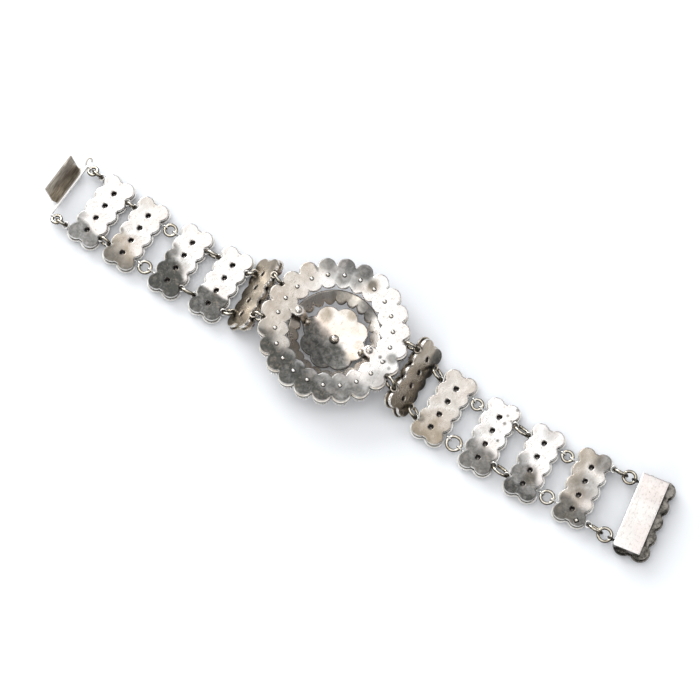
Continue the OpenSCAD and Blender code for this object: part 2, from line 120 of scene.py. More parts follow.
def triangle_grid(low, high, step):
    """Points and triangles of an even grid that covers a rectangle."""
    row_step = step * math.sqrt(0.75)
    columns = int((high[0] - low[0]) / step) + 3
    rows = int((high[1] - low[1]) / row_step) + 3
    j, i = np.mgrid[0:rows, 0:columns]
    x = low[0] - step + (i + 0.5 * (j % 2)) * step
    y = low[1] - row_step + j * row_step
    n = (j * columns + i)[:-1, :-1]
    odd = (j % 2 == 1)[:-1, :-1, None]
    a, b, c, d = n, n + 1, n + columns, n + columns + 1
    first = np.where(odd, np.stack([a, b, d], -1), np.stack([a, b, c], -1))
    second = np.where(odd, np.stack([a, d, c], -1), np.stack([b, d, c], -1))
    faces = np.concatenate([first.reshape(-1, 3), second.reshape(-1, 3)])
    return np.stack([x.ravel(), y.ravel()], -1), faces


def snapped(points, depth_of, levels, reach):
    """Moves the points that are close to a level of depth onto it, so that no sliver is cut."""
    depth = depth_of(points)
    slope = np.stack(
        [
            (depth_of(points + shift) - depth_of(points - shift)) / (2 * SLOPE_SHIFT)
            for shift in (np.array([SLOPE_SHIFT, 0]), np.array([0, SLOPE_SHIFT]))
        ],
        -1,
    )
    steep = np.maximum((slope**2).sum(-1), LEAST_STEEP)
    for level in levels:
        gap = level - depth
        near = np.abs(gap) < reach
        points = np.where(near[:, None], points + (gap / steep)[:, None] * slope, points)
        depth = np.where(near, level, depth)
    return points, depth


def cut(points, faces, depth, level):
    """Splits the triangles that cross a level of depth."""
    side = np.sign(np.round(depth - level, 9)).astype(int)
    s = side[faces]
    mixed = (s.min(1) < 0) & (s.max(1) > 0)
    kept, split = faces[~mixed], faces[mixed]
    if not len(split):
        return points, faces, depth
    s = side[split]
    touching = (s == 0).any(1)
    lone = np.where(
        touching, (s == 0).argmax(1), (s == -np.sign(s.sum(1))[:, None]).argmax(1)
    )
    order = (lone[:, None] + np.arange(3)) % 3
    a, b, c = np.take_along_axis(split, order, 1).T
    pa, pb, pc = a[~touching], b[~touching], c[~touching]
    ta, tb, tc = a[touching], b[touching], c[touching]
    ends = np.stack([np.concatenate([pa, pa, tb]), np.concatenate([pb, pc, tc])], -1)
    pairs, index = np.unique(np.sort(ends, 1), axis=0, return_inverse=True)
    index = index.ravel() + len(points)
    d1, d2 = depth[pairs[:, 0]], depth[pairs[:, 1]]
    t = ((level - d1) / (d2 - d1))[:, None]
    points = np.concatenate([points, points[pairs[:, 0]] * (1 - t) + points[pairs[:, 1]] * t])
    depth = np.concatenate([depth, np.full(len(pairs), float(level))])
    n = len(pa)
    ab, ac, bc = index[:n], index[n : 2 * n], index[2 * n :]
    made = [(pa, ab, ac), (ab, pb, pc), (ab, pc, ac), (ta, tb, bc), (ta, bc, tc)]
    faces = np.concatenate([kept] + [np.stack(corners, -1) for corners in made])
    return points, faces, depth


def flat_domain(depth_of, low, high, step):
    """Triangles of the area where depth is above zero, cut along each row of the edge."""
    points, faces = triangle_grid(low, high, step)
    points, depth = snapped(points, depth_of, EDGE_ROWS, SNAP * step)
    faces = faces[(depth[faces] > 0).any(1)]
    for level in EDGE_ROWS:
        points, faces, depth = cut(points, faces, depth, level)
    middle = points[faces].mean(1)
    faces = faces[(depth[faces].min(1) > -1e-6) & (depth_of(middle) > 0)]
    used, faces = np.unique(faces, return_inverse=True)
    return points[used], faces.reshape(-1, 3), depth[used]


def with_walls(points, faces, bottom):
    """Adds a wall below each open edge, down to the bottom heights."""
    edges = np.concatenate([faces[:, [0, 1]], faces[:, [1, 2]], faces[:, [2, 0]]])
    _, index, count = np.unique(np.sort(edges, 1), axis=0, return_index=True, return_counts=True)
    rim = edges[index[count == 1]]
    corners, flat = np.unique(rim, return_inverse=True)
    flat = flat.reshape(-1, 2) + len(points)
    low = points[corners].copy()
    low[:, 2] = np.broadcast_to(bottom, len(points))[corners]
    walls = np.concatenate(
        [
            np.stack([rim[:, 1], rim[:, 0], flat[:, 0]], -1),
            np.stack([rim[:, 1], flat[:, 0], flat[:, 1]], -1),
        ]
    )
    return np.concatenate([points, low]), np.concatenate([faces, walls])


def rounded(depth):
    """How far the surface drops near an edge that is rounded to ROUND_R."""
    inward = 1 - np.clip(depth, 0, ROUND_R) / ROUND_R
    return ROUND_R * (1 - np.sqrt(1 - inward**2))


def ripple(points, seed, waves):
    """Smooth uneven heights from about -1 to 1, as hammered and handled sheet has."""
    rng = np.random.default_rng(seed)
    total = np.zeros(len(points))
    for _ in range(waves.count):
        length = math.exp(rng.uniform(math.log(waves.shortest), math.log(waves.longest)))
        angle, phase = rng.uniform(0, 2 * math.pi, 2)
        along = points[:, 0] * math.cos(angle) + points[:, 1] * math.sin(angle)
        total += np.sin(along * 2 * math.pi / length + phase) * (length / waves.longest)
    return total / math.sqrt(waves.count) * RIPPLE_GAIN


def uneven(points, seed, waves):
    """How far an uneven surface stands above its base, in mm."""
    return waves.height * (1 + ripple(points, seed, waves))


def disc_depth(points, centres, r):
    """Depth inside the nearest of some discs."""
    gaps = np.linalg.norm(points[:, None, :] - np.asarray(centres)[None], axis=-1)
    return r - gaps.min(1)


def bar_depth(points, half_x, half_y):
    """Depth inside a rectangle round the origin."""
    return np.minimum(half_x - np.abs(points[:, 0]), half_y - np.abs(points[:, 1]))


def cushions(points, centres, r):
    """One low dome for each lobe, from 0 between lobes to 1 at a lobe's centre."""
    return 1 - np.clip((r - disc_depth(points, centres, r)) / r, 0, 1) ** 2


def smooth_step(t):
    t = np.clip(t, 0, 1)
    return t * t * (3 - 2 * t)


def around(count, r, first=0.0):
    """Places at even angles on a circle, from a first angle on."""
    angles = [math.radians(first + k * 360 / count) for k in range(count)]
    return [(r * math.cos(a), r * math.sin(a)) for a in angles]


def new_mesh(name, points, faces, smooth=True):
    """A mesh from points in mm."""
    mesh = bpy.data.meshes.new(name)
    mesh.from_pydata((np.asarray(points) * MM).tolist(), [], [list(map(int, f)) for f in faces])
    mesh.polygons.foreach_set("use_smooth", [smooth] * len(mesh.polygons))
    mesh.update()
    return mesh


def new_object(name, data):
    made = bpy.data.objects.new(name, data)
    bpy.context.scene.collection.objects.link(made)
    return made


def add_piece(mesh, material, matrix):
    """Adds a piece of the mesh's name, which rides on the bracelet."""
    piece = new_object(mesh.name, mesh)
    mesh.materials.append(material)
    piece.matrix_world = matrix
    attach(piece, "root")


def paint(mesh, name, values):
    layer = mesh.attributes.new(name, "FLOAT", "POINT")
    layer.data.foreach_set("value", np.asarray(values, np.float32))


class Parts:
    """Collects many small solids into one mesh, in mm."""

    def __init__(self):
        self.points, self.faces, self.count = [], [], 0

    def add(self, points, faces):
        self.points.append(np.asarray(points, float))
        self.faces += [[i + self.count for i in f] for f in faces]
        self.count += len(points)

    def mesh(self, name, smooth=True):
        return new_mesh(name, np.concatenate(self.points), self.faces, smooth)


def ball(centre, r, rings=5, sides=8, squash=1.0):
    """A ball whose height is changed by squash."""
    points, faces = [(0, 0, r * squash)], []
    for i in range(1, rings):
        a = math.pi * i / rings
        for k in range(sides):
            b = 2 * math.pi * k / sides
            flat = r * math.sin(a)
            points.append((flat * math.cos(b), flat * math.sin(b), r * squash * math.cos(a)))
    points.append((0, 0, -r * squash))
    last = len(points) - 1
    for k in range(sides):
        n = (k + 1) % sides
        faces.append((0, 1 + k, 1 + n))
        for i in range(rings - 2):
            a, b = 1 + i * sides, 1 + (i + 1) * sides
            faces.append((a + k, b + k, b + n, a + n))
        faces.append((last, last - sides + n, last - sides + k))
    return np.array(points) + centre, faces


def gem(centre, girdle_r, table_r, culet, girdle, table, turn):
    """A cut stone, table down; its culet, girdle and table lie that far below the centre."""
    sides = 8
    points = []
    for r, z, twist in ((girdle_r, girdle, 0), (table_r, table, 180 / sides)):
        for k in range(sides):
            a = math.radians(turn + twist + k * 360 / sides)
            points.append((r * math.cos(a), r * math.sin(a), -z))
    points.append((0, 0, -culet))
    faces = [[k, (k + 1) % sides, 2 * sides] for k in range(sides)]
    faces += [[(k + 1) % sides, k, sides + k] for k in range(sides)]
    faces += [[(k + 1) % sides, sides + k, sides + (k + 1) % sides] for k in range(sides)]
    faces.append([2 * sides - 1 - k for k in range(sides)])
    return np.array(points) + centre, faces


def wire(path, r, sides):
    """A round wire with flat ends along a path of points in mm."""
    path = np.asarray(path, float)
    ahead = np.concatenate([path[1:2] - path[:1], path[2:] - path[:-2], path[-1:] - path[-2:-1]])
    across = np.array([0, 0, 1.0])
    points, faces = [], []
    for p, t in zip(path, ahead):
        t = t / np.linalg.norm(t)
        across = across - t * across.dot(t)
        across = across / np.linalg.norm(across)
        other = np.cross(t, across)
        for k in range(sides):
            a = 2 * math.pi * k / sides
            points.append(p + r * (math.cos(a) * across + math.sin(a) * other))
    for i in range(len(path) - 1):
        for k in range(sides):
            n = (k + 1) % sides
            one, two = i * sides, (i + 1) * sides
            faces.append([one + k, one + n, two + n, two + k])
    faces.append(list(range(sides))[::-1])
    faces.append([(len(path) - 1) * sides + k for k in range(sides)])
    return np.array(points), faces


def smooth_path(points, steps):
    """Points on a smooth curve through the given ones."""
    p = np.asarray(points, float)
    p = np.concatenate([[2 * p[0] - p[1]], p, [2 * p[-1] - p[-2]]])
    made = []
    for i in range(1, len(p) - 2):
        linear = p[i + 1] - p[i - 1]
        square = 2 * p[i - 1] - 5 * p[i] + 4 * p[i + 1] - p[i + 2]
        cube = 3 * p[i] - p[i - 1] - 3 * p[i + 1] + p[i + 2]
        for t in np.linspace(0, 1, steps, endpoint=False):
            made.append(0.5 * (2 * p[i] + linear * t + square * t**2 + cube * t**3))
    made.append(p[-2])
    return made


# Materials


class Shader:
    """A short way to build a node tree."""

    def __init__(self, name):
        self.material = bpy.data.materials.new(name)
        self.material.use_nodes = True
        self.tree = self.material.node_tree
        self.bsdf = self.tree.nodes["Principled BSDF"]

    def node(self, kind, **inputs):
        node = self.tree.nodes.new(kind)
        for key, value in inputs.items():
            self.put(node, key, value)
        return node

    def put(self, node, key, value):
        socket = node.inputs[key]
        if isinstance(value, bpy.types.NodeSocket):
            self.tree.links.new(value, socket)
        else:
            socket.default_value = value

    def local(self, scale=(1, 1, 1)):
        """The piece's own coordinates in mm, stretched by scale."""
        place = self.node("ShaderNodeTexCoord").outputs["Object"]
        mapping = self.node("ShaderNodeMapping", Vector=place, Scale=[s / MM for s in scale])
        return mapping.outputs["Vector"]

    def along(self, direction):
        """How far along a direction the point lies, in mm."""
        node = self.node("ShaderNodeVectorMath")
        node.operation = "DOT_PRODUCT"
        self.put(node, 0, self.local())
        self.put(node, 1, direction)
        return node.outputs["Value"]

    def noise(self, size, detail=4.0, rough=0.55, stretch=(1, 1, 1), distort=0.0):
        """Noise with features of about that size in mm."""
        place = self.local([s / size for s in stretch])
        shape = {"Detail": detail, "Roughness": rough, "Distortion": distort}
        return self.node("ShaderNodeTexNoise", Vector=place, Scale=1.0, **shape).outputs["Fac"]

    def spread(self, value, low, high, to_low=0.0, to_high=1.0):
        """Maps low to high softly onto the other two values."""
        ends = {"From Min": low, "From Max": high, "To Min": to_low, "To Max": to_high}
        node = self.node("ShaderNodeMapRange", Value=value, **ends)
        node.interpolation_type = "SMOOTHSTEP"
        return node.outputs["Result"]

    def math(self, what, a, b):
        node = self.node("ShaderNodeMath")
        node.operation = what
        self.put(node, 0, a)
        self.put(node, 1, b)
        return node.outputs[0]

    def mix(self, share, a, b):
        """A colour between a and b: the sockets are those of the colour mode."""
        node = self.node("ShaderNodeMix")
        node.data_type = "RGBA"
        for key, v in ((0, share), (6, a), (7, b)):
            self.put(node, key, v)
        return node.outputs[2]

    def painted(self, name):
        node = self.node("ShaderNodeAttribute")
        node.attribute_name = name
        return node.outputs["Fac"]

    def deepened(self, layer, cloud):
        """A tarnish layer, or a layer of tarnish and painted dark reflection, made cloudy, from 0
        to 1, so that equal steps of it look equally dark.
        """
        cloudy = self.spread(cloud, 0.3, 0.7, 0.72, 1.22)
        left = self.math("SUBTRACT", 1.0, self.math("MULTIPLY", layer, cloudy))
        left = self.math("MAXIMUM", left, 0.0)
        return self.math("SUBTRACT", 1.0, self.math("MULTIPLY", left, left))

    def facing_up(self):
        """1 where the piece's surface faces straight up, 0 where it is upright."""
        normal = self.node("ShaderNodeTexCoord").outputs["Normal"]
        return self.node("ShaderNodeSeparateXYZ", Vector=normal).outputs["Z"]

    def bump(self, height, strength, depth_mm):
        depth = depth_mm * MM
        node = self.node("ShaderNodeBump", Height=height, Strength=strength, Distance=depth)
        self.put(self.bsdf, "Normal", node.outputs["Normal"])

    def metal(self, colour, rough):
        self.put(self.bsdf, "Base Color", colour)
        self.put(self.bsdf, "Metallic", 1.0)
        self.put(self.bsdf, "Roughness", rough)


BRIGHT_SILVER = (0.89, 0.885, 0.875, 1)
ROSY_SILVER = (0.87, 0.80, 0.765, 1)
TAN_TARNISH = (0.37, 0.31, 0.235, 1)
# Colour of smoky tarnish, and of the painted dark reflection on the backs
SMOKE_AND_DARK_REFLECTION = (0.072, 0.073, 0.068, 1)
GARNET_IOR = 1.76

# The width in mm of the deep corners that get painted shade, and the rays that look for them
CORNER_WIDTH, CORNER_RAYS = 1.2, 4


def sheet_silver(name, tint=BRIGHT_SILVER, rosy=ROSY_SILVER, rough=0.2):
    """Old silver sheet. Vertex layers say where it is tan, and where it is smoky and carries
    painted dark reflection.
    """
    s = Shader(name)
    mottle = s.noise(2.6, 5.0, 0.6)
    cloud = s.noise(1.5, 6.0, 0.68, distort=0.4)
    blush = s.spread(s.noise(7.0, 2.0), 0.42, 0.68)
    fine = s.noise(0.5, 4.0, 0.65)
    scratches = s.noise(1.2, 6.0, 0.7, stretch=(6.0, 0.7, 1.0), distort=0.6)
    grain = s.noise(0.9, 5.0, 0.7)
    colour = s.mix(s.math("MULTIPLY", blush, 0.8), tint, rosy)
    colour = s.mix(s.deepened(s.painted("tan"), mottle), colour, TAN_TARNISH)
    # Painted dark reflection: the smoke layer also darkens where a back would mirror the dark room
    smoke_and_dark_reflection = s.deepened(s.painted("smoke_and_dark_reflection"), cloud)
    colour = s.mix(smoke_and_dark_reflection, colour, SMOKE_AND_DARK_REFLECTION)
    colour = s.mix(s.spread(grain, 0.5, 0.72, 0.0, 0.45), colour, TAN_TARNISH)
    colour = s.mix(s.spread(scratches, 0.54, 0.68, 0.0, 0.35), colour, SMOKE_AND_DARK_REFLECTION)
    colour = s.mix(s.spread(scratches, 0.3, 0.42, 0.12, 0.0), colour, BRIGHT_SILVER)
    rough = s.spread(mottle, 0.3, 0.7, rough, rough + 0.12)
    s.metal(colour, s.math("ADD", rough, s.math("MULTIPLY", smoke_and_dark_reflection, 0.14)))
    height = s.math("ADD", s.math("MULTIPLY", fine, 0.6), s.math("MULTIPLY", scratches, 0.4))
    s.bump(height, 0.5, 0.025)
    return s.material


def cast_silver(name, light, dark, shade_colour, rough=0.24, flank=0.4, steep=(-0.1, 0.75), deep=0.7):
    """Silver of the settings and trays, with painted shade on steep flanks and in deep corners."""
    s = Shader(name)
    mottle = s.noise(1.6, 5.0, 0.6)
    fine = s.noise(0.35, 4.0, 0.6)
    colour = s.mix(s.spread(mottle, 0.35, 0.65), light, dark)
    corner_shade = s.node("ShaderNodeAmbientOcclusion", Distance=CORNER_WIDTH * MM)
    corner_shade.samples = CORNER_RAYS
    # Painted shade: darker in deep corners, found by occlusion, and on steep flanks
    colour = s.mix(s.spread(corner_shade.outputs["AO"], 0.1, deep, 0.85, 0.0), colour, shade_colour)
    colour = s.mix(s.spread(s.facing_up(), *steep, flank, 0.0), colour, shade_colour)
    s.metal(colour, s.spread(fine, 0.3, 0.7, rough, rough + 0.14))
    s.bump(fine, 0.4, 0.02)
    return s.material


def wire_gilt(name):
    """Worn gilt wire, with painted dark reflection on its flanks."""
    s = Shader(name)
    worn = s.noise(1.1, 4.0, 0.6)
    fine = s.noise(0.22, 4.0, 0.6)
    colour = s.mix(s.spread(worn, 0.35, 0.65), (0.86, 0.82, 0.735, 1), (0.60, 0.53, 0.41, 1))
    # Painted dark reflection: the wire's steep flanks are painted near black
    flank = s.spread(s.facing_up(), 0.72, 0.955, 0.97, 0.0)
    colour = s.mix(flank, colour, (0.065, 0.055, 0.038, 1))
    s.metal(colour, s.spread(fine, 0.3, 0.7, 0.16, 0.3))
    s.bump(fine, 0.4, 0.015)
    return s.material


def spring_metal(name):
    """Brown spring sheet with streaks along the bracelet's width, and the bright bar it is on."""
    s = Shader(name)
    streak = s.noise(1.3, 6.0, 0.65, stretch=(4.5, 0.45, 4.5), distort=0.5)
    band = s.noise(3.5, 3.0, 0.5, stretch=(1.4, 0.4, 1.4))
    fine = s.noise(0.35, 4.0, 0.6, stretch=(5.0, 0.5, 5.0))
    colour = s.mix(s.spread(streak, 0.38, 0.62), (0.26, 0.225, 0.185, 1), (0.66, 0.61, 0.53, 1))
    colour = s.mix(s.spread(band, 0.4, 0.62, 0.0, 0.7), colour, (0.18, 0.16, 0.145, 1))
    on_bar = s.spread(s.along(BAR_DIRECTION), BAR_FROM, BAR_FROM + BAR_SOFT)
    colour = s.mix(on_bar, colour, (0.88, 0.87, 0.85, 1))
    s.metal(colour, s.spread(fine, 0.3, 0.7, 0.26, 0.42))
    s.bump(streak, 0.5, 0.03)
    return s.material


def pale_point_garnet(name):
    """The smallest stones: dark, with a painted pale centre at their points as painted light at the
    bottom of the holes.
    """
    s = Shader(name)
    # Painted light: the points are painted pale, and the dark colour kept light, against the shade
    # deep in the tubes
    worn = s.spread(s.noise(0.3, 3.0), 0.2, 0.6, 0.6, 1.0)
    pale_point = s.math("MULTIPLY", s.spread(s.painted("pale_point"), 0.35, 0.8), worn)
    colour = s.mix(pale_point, (0.2, 0.165, 0.15, 1), (0.72, 0.69, 0.65, 1))
    s.put(s.bsdf, "Base Color", colour)
    s.put(s.bsdf, "Roughness", 0.45)
    s.put(s.bsdf, "IOR", GARNET_IOR)
    return s.material


def cut_garnet(name):
    """Clear dark red stone with a little wear."""
    s = Shader(name)
    cloud = s.spread(s.noise(0.9, 3.0), 0.35, 0.7)
    s.put(s.bsdf, "Base Color", s.mix(cloud, (0.42, 0.012, 0.03, 1), (0.22, 0.004, 0.012, 1)))
    s.put(s.bsdf, "Roughness", s.spread(s.noise(0.12, 3.0), 0.35, 0.75, 0.02, 0.09))
    s.put(s.bsdf, "IOR", GARNET_IOR)
    s.put(s.bsdf, "Transmission Weight", 0.85)
    s.put(s.bsdf, "Specular IOR Level", 0.6)
    return s.material


def floor_paint():
    s = Shader("pale_floor")
    grain = s.noise(40.0, 3.0)
    s.put(s.bsdf, "Base Color", s.mix(grain, (0.93, 0.955, 0.99, 1), (0.94, 0.96, 0.985, 1)))
    s.put(s.bsdf, "Roughness", 0.85)
    s.put(s.bsdf, "Specular IOR Level", 0.1)
    return s.material


# The tongue's bar: the direction across it, where it begins and how softly, in mm
BAR_X, BAR_Y, _, BAR_TURN, _ = PLACES["bar"]
BAR_HALF, BAR_SOFT = 0.75, 0.3
BAR_DIRECTION = (math.cos(math.radians(BAR_TURN)), math.sin(math.radians(BAR_TURN)), 0.0)
BAR_FROM = (BAR_X + SHIFT_X) * BAR_DIRECTION[0] + BAR_Y * BAR_DIRECTION[1] - BAR_HALF

SILVER_SHEET = sheet_silver("silver_sheet")
CUP_SILVER = sheet_silver("cup_silver", (0.93, 0.89, 0.85, 1), (0.92, 0.79, 0.69, 1), 0.22)
BOX_SILVER = sheet_silver("box_silver", (0.90, 0.875, 0.85, 1), (0.90, 0.82, 0.79, 1), 0.26)
SETTINGS = cast_silver(
    "setting_silver", (0.90, 0.89, 0.87, 1), (0.72, 0.70, 0.66, 1), (0.06, 0.058, 0.056, 1),
    flank=0.1,
)
BEAD_SILVER = cast_silver(
    "bead_silver", (0.95, 0.94, 0.91, 1), (0.86, 0.84, 0.80, 1), (0.06, 0.058, 0.056, 1),
    rough=0.18, flank=0.3, steep=(-0.1, 0.5), deep=0.4,
)
# The rivets and the knob are painted dark on their flanks as painted shade
RIVET_LOOK = ((0.92, 0.90, 0.87, 1), (0.70, 0.64, 0.56, 1), (0.055, 0.045, 0.038, 1), 0.18)
RIVET_SILVER = cast_silver("rivet_silver", *RIVET_LOOK, flank=0.97, steep=(0.72, 0.99))
KNOB_SILVER = cast_silver("knob_silver", *RIVET_LOOK, flank=0.85, steep=(0.0, 0.85))
# The outer ring's settings carry strong painted shade on their flanks
RING_SETTINGS = cast_silver(
    "ring_silver", (0.86, 0.84, 0.80, 1), (0.62, 0.57, 0.50, 1), (0.07, 0.06, 0.05, 1),
    flank=0.7,
)
WARM_SETTINGS = cast_silver(
    "warm_silver", (0.72, 0.66, 0.58, 1), (0.50, 0.44, 0.36, 1), (0.06, 0.05, 0.04, 1)
)
# The clasp box's dark silver, with strong painted shade in its corners and on its flanks
DARK_SETTINGS = cast_silver(
    "dark_silver", (0.32, 0.30, 0.27, 1), (0.05, 0.047, 0.042, 1), (0.02, 0.018, 0.016, 1),
    rough=0.2, flank=0.6, deep=1.0,
)
GILT = wire_gilt("gilt_wire")
GARNET = cut_garnet("garnet")
PALE_POINT_GARNET = pale_point_garnet("pale_point_garnet")
SPRING = spring_metal("spring_sheet")

CAD_FINISH = {
    "tongue": SPRING,
    "clasp_box": DARK_SETTINGS,
    "outer_ring": RING_SETTINGS,
    "middle_ring": WARM_SETTINGS,
    "centre_cup": KNOB_SILVER,
    "link_l5": WARM_SETTINGS,
    "link_r1": WARM_SETTINGS,
    "bridges": WARM_SETTINGS,
}

# How far the rings' surface stands out from their wire, in mm, and less where there is less room
RING_PLUMP = 0.09
TIGHT_RINGS = {"ring_5a": 0.05}


def finish_cad_nodes():
    for name, node in nodes.items():
        material = CAD_FINISH.get(name, SETTINGS)
        if name.startswith("stones"):
            material = GARNET
        elif name.startswith("ring_"):
            material = GILT
            plump = node.modifiers.new("plump", "DISPLACE")
            plump.strength = TIGHT_RINGS.get(name, RING_PLUMP) * MM
            plump.mid_level = 0
        node.data.materials.clear()
        node.data.materials.append(material)


# Tarnish and painted dark reflection

# A sweep deepens in a direction (degrees) from a start over a width, and a spot is round, in mm
Sweep = namedtuple("Sweep", "direction start width strength")
Spot = namedtuple("Spot", "x y r strength")

# The start in mm of a sweep that covers a whole piece
FAR_BELOW = -60

# How the borders waver: a spot's by this share of its radius
LAYER_BORDER_WAVES = Waves(1, 9, 2, 14)
SPOT_WAVER = 0.2

# A sweep's border wavers by this in mm, or by this share of its width if that is less
SWEEP_WAVER, SWEEP_WAVER_SHARE = 0.8, 0.35

# The share of tarnish that wear has taken from a sheet's edge, and how wide that is in mm
WORN, WORN_W = 0.8, 0.16


def all_over(strength):
    """An even tarnish."""
    return Sweep(0, FAR_BELOW, 1, strength)


# How each link's back is bent, worn and shaded: bend from end to end in mm, its tan tarnish, and
# its smoky tarnish with painted dark reflection
WEAR_AND_DARK_REFLECTION = {
    "l1": {
        "bend": 0.16,
        "tan": (all_over(0.04),),
        "smoke_and_dark_reflection": (Sweep(262, 5.2, 1.4, 0.56), Spot(-3.6, -3.4, 1.3, 0.28)),
    },
    "l2": {
        "bend": 0.15,
        "tan": (all_over(0.1), Sweep(240, 2.2, 4.0, 0.62), Spot(-2.6, 9.4, 2.6, 0.22)),
        "smoke_and_dark_reflection": (Sweep(255, 6.0, 5.0, 0.46), Spot(-4.0, -1.4, 0.9, 0.4)),
    },
    "l3": {
        "bend": 0.18,
        "tan": (all_over(0.06), Spot(2.8, -6.4, 2.4, 0.4)),
        "smoke_and_dark_reflection": (
            Sweep(236, 1.0, 3.2, 0.93),
            Spot(-3.3, 1.4, 2.0, 0.48),
            Spot(0.6, -1.6, 2.4, 0.18),
        ),
    },
    "l4": {
        "bend": 0.17,
        "tan": (all_over(0.04), Spot(1.5, -5.2, 1.4, 0.25)),
        "smoke_and_dark_reflection": (Sweep(267, 3.0, 0.9, 0.74),),
    },
    "l5": {
        "bend": 0.10,
        "tan": (all_over(0.93),),
        "smoke_and_dark_reflection": (
            all_over(0.1),
            Sweep(20, 4.4, 3.0, 0.3),
            Spot(0.0, -0.5, 4.4, 0.26),
            Spot(-2.5, -8.5, 3.2, 0.2),
        ),
    },
    "r1": {
        "bend": 0.10,
        "tan": (all_over(0.68),),
        "smoke_and_dark_reflection": (Sweep(8, 2.6, 1.8, 0.76), Spot(-1.5, -9, 3.5, 0.12)),
    },
    "r2": {
        "bend": 0.12,
        "tan": (Sweep(262, 3, 12, 0.82), all_over(0.27)),
        "smoke_and_dark_reflection": (Sweep(268, 9.5, 5.0, 0.2), Spot(-3.2, -5.6, 0.9, 0.3)),
    },
    "r3": {
        "bend": 0.15,
        "tan": (Sweep(262, 5, 8, 0.2), Spot(-0.8, 1.5, 1.5, 0.15)),
        "smoke_and_dark_reflection": (
            Sweep(246, 2.4, 2.8, 0.56),
            Spot(1.7, 7.2, 0.4, 0.45),
            Spot(3.1, 6.3, 0.36, 0.45),
            Spot(1.9, 5.0, 0.4, 0.4),
            Spot(3.2, 9.6, 0.36, 0.45),
            Spot(2.4, 0.1, 0.4, 0.5),
        ),
    },
    "r4": {
        "bend": 0.15,
        "tan": (Spot(0.9, -4.2, 1.6, 0.6),),
        "smoke_and_dark_reflection": (
            Sweep(236, 1.4, 2.4, 0.56),
            Sweep(262, 6.4, 4.0, 0.84),
            Spot(0.4, 9.4, 2.0, 0.14),
        ),
    },
    "r5": {
        "bend": 0.15,
        "tan": (Sweep(190, -0.6, 4.0, 0.5), Spot(-0.6, 8.6, 2.4, 0.5), all_over(0.15)),
        "smoke_and_dark_reflection": (
            Sweep(262, 4.6, 3.4, 0.6),
            Spot(2.6, 8.6, 2.8, 0.45),
            Spot(0.6, 0.4, 3.2, 0.26),
            Spot(2.0, -8.3, 1.3, 0.3),
        ),
    },
}
MEDAL_TAN = (
    all_over(0.05),
    Sweep(190, 9, 12, 0.42),
    Spot(2.2, 15.5, 1.8, 0.6),
    Spot(0.4, 14.2, 1.8, 0.24),
)
# Smoky tarnish on the medallion's back, with painted dark reflection on its lower part and on the
# three bent-up petals at the top
MEDAL_SMOKE_AND_DARK_REFLECTION = (
    Sweep(258, 12, 5, 0.83),
    Sweep(280, 11, 6, 0.6),
    Spot(-10.6, 14.6, 2.2, 0.4),
    Spot(-8.4, 13.0, 1.8, 0.3),
    Spot(-6.1, 16.2, 2.8, 0.55),
    Spot(-5.2, 13.2, 2.2, 0.5),
    Spot(-1.6, 17.2, 2.6, 0.6),
    Spot(-2.0, 13.8, 1.8, 0.4),
    Spot(2.0, 15.5, 1.0, 0.4),
    Spot(13.5, -11.5, 2.6, 0.3),
    Spot(16.7, 0.9, 1.3, 0.42),
    Spot(13.8, -0.2, 0.42, 0.55),
    Spot(15.4, -0.6, 0.42, 0.55),
    Spot(17.2, -1.7, 0.42, 0.4),
    Spot(16.4, -5.4, 2.6, 0.22),
)
MID_TAN = (all_over(0.05), Sweep(170, 2, 10, 0.38))
# Smoky tarnish of the middle ring, with painted shade at its top, under the edge of the outer ring
MID_SMOKE_AND_SHADE = (Sweep(235, 2, 10, 0.12), Spot(-3, 10.5, 3.2, 0.42), Spot(3.4, 10.2, 3.0, 0.5))
CUP_TAN = (
    Sweep(75, 6, 5, 0.3),
    Spot(-5.3, 4.3, 1.9, 0.55),
    Spot(0.6, 7.9, 1.6, 0.6),
    Spot(6.3, -2.5, 1.8, 0.45),
    Spot(6.2, 1.6, 1.4, 0.3),
)
# The dark lower-left half of the cup is a painted dark reflection of the room in its dish
CUP_DARK_REFLECTION = (Sweep(252, 0.6, 3.0, 0.76),)
BOX_TAN = (Sweep(30, 9, 5, 0.25),)


def tarnish_and_dark_reflection(points, rules, seed):
    """How strong a layer is at each point, from 0 to 1, with wavering borders: tan tarnish, or
    smoky tarnish with painted dark reflection.
    """
    waver = ripple(points, seed, LAYER_BORDER_WAVES)
    total = np.zeros(len(points))
    for rule in rules:
        if isinstance(rule, Spot):
            gap = np.hypot(points[:, 0] - rule.x, points[:, 1] - rule.y) / rule.r
            share = smooth_step(1.5 - (gap + SPOT_WAVER * waver))
        else:
            a = math.radians(rule.direction)
            along = points[:, 0] * math.cos(a) + points[:, 1] * math.sin(a)
            border = min(SWEEP_WAVER, SWEEP_WAVER_SHARE * rule.width) * waver
            share = smooth_step((along + border - rule.start) / rule.width + 0.5)
        total = np.maximum(total, rule.strength * share)
    return total


def left_at_edge(depth, count, worn):
    """The share of the tarnish that wear has left: little on the edges and walls of a sheet."""
    edge = np.full(count, 1.0)
    edge[: len(depth)] = 1 - smooth_step(depth / WORN_W)
    return 1 - worn * edge


